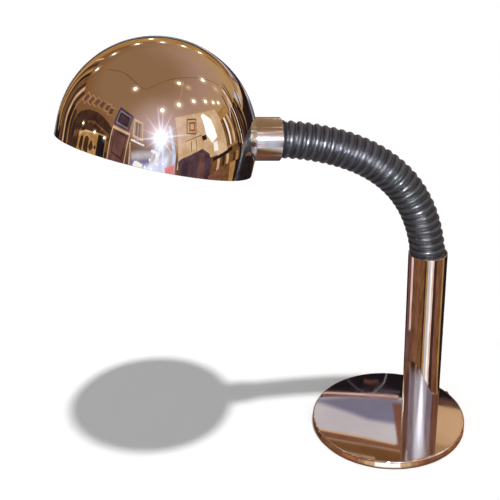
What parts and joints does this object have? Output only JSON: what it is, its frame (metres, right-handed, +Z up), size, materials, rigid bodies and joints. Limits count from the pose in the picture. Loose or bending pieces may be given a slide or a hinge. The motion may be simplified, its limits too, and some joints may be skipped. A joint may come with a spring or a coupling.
{
  "type": "gooseneck desk lamp",
  "caption": "Free-standing desk lamp: a weighted round base, an upright tube, a bendable ribbed neck that holds its shape, and a hemispherical metal shade over a screw-in lamp.",
  "frame": {"origin": "centre of the base's underside, on the table", "axes": "+Z up along the tube; the neck bends in a plane parallel to XZ and reaches towards -X"},
  "size_m": [0.3888, 0.1847, 0.423],
  "materials": {
    "chrome_plate": "polished chrome plate",
    "cast_iron": "bare cast",
    "felt": "felt",
    "zinc_steel": "zinc-plated steel",
    "neck_rubber": "smooth moulded rubber",
    "bush_plastic": "moulded plastic",
    "satin_chrome": "fine-turned satin chrome plate",
    "holder_ceramic": "glazed porcelain",
    "brass": "drawn brass",
    "cap_metal": "drawn sheet",
    "black_glass": "black glass",
    "clear_glass": "clear glass",
    "opal_glass": "frosted glass",
    "tungsten": "coiled wire"
  },
  "bodies": {
    "stand": {"base_cover": "chrome_plate", "base_weight": "cast_iron", "base_pad": "felt", "base_screws": "zinc_steel", "cord_bush": "bush_plastic", "stem_plug": "zinc_steel", "stem_tube": "chrome_plate", "neck_socket": "zinc_steel", "neck_ferrule": "zinc_steel", "ferrule_nut": "zinc_steel", "sleeve_foot": "neck_rubber"},
    "link_01": {"conduit_01": "zinc_steel", "sleeve_01": "neck_rubber"},
    "link_02": {"conduit_02": "zinc_steel", "sleeve_02": "neck_rubber"},
    "link_03": {"conduit_03": "zinc_steel", "sleeve_03": "neck_rubber"},
    "link_04": {"conduit_04": "zinc_steel", "sleeve_04": "neck_rubber"},
    "link_05": {"conduit_05": "zinc_steel", "sleeve_05": "neck_rubber"},
    "link_06": {"conduit_06": "zinc_steel", "sleeve_06": "neck_rubber"},
    "link_07": {"conduit_07": "zinc_steel", "sleeve_07": "neck_rubber"},
    "link_08": {"conduit_08": "zinc_steel", "sleeve_08": "neck_rubber"},
    "link_09": {"conduit_09": "zinc_steel", "sleeve_09": "neck_rubber"},
    "link_10": {"conduit_10": "zinc_steel", "sleeve_10": "neck_rubber"},
    "link_11": {"conduit_11": "zinc_steel", "sleeve_11": "neck_rubber"},
    "link_12": {"conduit_12": "zinc_steel", "sleeve_12": "neck_rubber"},
    "link_13": {"conduit_13": "zinc_steel", "sleeve_13": "neck_rubber"},
    "link_14": {"conduit_14": "zinc_steel", "sleeve_14": "neck_rubber"},
    "head": {"neck_end": "zinc_steel", "coupler": "satin_chrome", "coupler_nut": "zinc_steel", "shade_dome": "chrome_plate", "shade_ring": "satin_chrome", "holder_body": "holder_ceramic", "screw_shell": "brass", "centre_contact": "brass", "holder_screws": "zinc_steel", "bulb_cap": "cap_metal", "bulb_insulator": "black_glass", "bulb_contact": "cap_metal", "bulb_glass": "opal_glass", "bulb_mount": "clear_glass", "filament": "tungsten"}
  },
  "joints": [
    {"name": "bend_00", "type": "hinge", "parent": "stand", "child": "link_01", "pos_m": [0.04126, 0.01469, 0.186], "axis": [0, -1, 0], "range_deg": [-7.7, 4.5]},
    {"name": "bend_01", "type": "hinge", "parent": "link_01", "child": "link_02", "pos_m": [0.0391, 0.01469, 0.20152], "axis": [0, -1, 0], "range_deg": [-7.7, 4.5]},
    {"name": "swing_02", "type": "hinge", "parent": "link_02", "child": "link_03", "pos_m": [0.03569, 0.01469, 0.21682], "axis": [0.9507, 0, 0.3102], "range_deg": [-10, 10]},
    {"name": "bend_03", "type": "hinge", "parent": "link_03", "child": "link_04", "pos_m": [0.03083, 0.01469, 0.23171], "axis": [0, -1, 0], "range_deg": [-7.7, 4.5]},
    {"name": "bend_04", "type": "hinge", "parent": "link_04", "child": "link_05", "pos_m": [0.02435, 0.01469, 0.24598], "axis": [0, -1, 0], "range_deg": [-7.7, 4.5]},
    {"name": "bend_05", "type": "hinge", "parent": "link_05", "child": "link_06", "pos_m": [0.01618, 0.01469, 0.25935], "axis": [0, -1, 0], "range_deg": [-7.7, 4.5]},
    {"name": "swing_06", "type": "hinge", "parent": "link_06", "child": "link_07", "pos_m": [0.00636, 0.01469, 0.27156], "axis": [0.6923, 0, 0.7216], "range_deg": [-10, 10]},
    {"name": "bend_07", "type": "hinge", "parent": "link_07", "child": "link_08", "pos_m": [-0.00495, 0.01469, 0.28241], "axis": [0, -1, 0], "range_deg": [-7.7, 4.5]},
    {"name": "bend_08", "type": "hinge", "parent": "link_08", "child": "link_09", "pos_m": [-0.01749, 0.01469, 0.2918], "axis": [0, -1, 0], "range_deg": [-7.7, 4.5]},
    {"name": "swing_09", "type": "hinge", "parent": "link_09", "child": "link_10", "pos_m": [-0.03099, 0.01469, 0.29976], "axis": [0.4237, 0, 0.9058], "range_deg": [-10, 10]},
    {"name": "bend_10", "type": "hinge", "parent": "link_10", "child": "link_11", "pos_m": [-0.04518, 0.01469, 0.3064], "axis": [0, -1, 0], "range_deg": [-7.7, 4.5]},
    {"name": "bend_11", "type": "hinge", "parent": "link_11", "child": "link_12", "pos_m": [-0.05986, 0.01469, 0.31188], "axis": [0, -1, 0], "range_deg": [-7.7, 4.5]},
    {"name": "swing_12", "type": "hinge", "parent": "link_12", "child": "link_13", "pos_m": [-0.07489, 0.01469, 0.31633], "axis": [0.2238, 0, 0.9746], "range_deg": [-10, 10]},
    {"name": "bend_13", "type": "hinge", "parent": "link_13", "child": "link_14", "pos_m": [-0.09016, 0.01469, 0.31984], "axis": [0, -1, 0], "range_deg": [-7.7, 4.5]},
    {"name": "bend_14", "type": "hinge", "parent": "link_14", "child": "head", "pos_m": [-0.10562, 0.01469, 0.32238], "axis": [0, -1, 0], "range_deg": [-7.7, 4.5]}
  ]
}
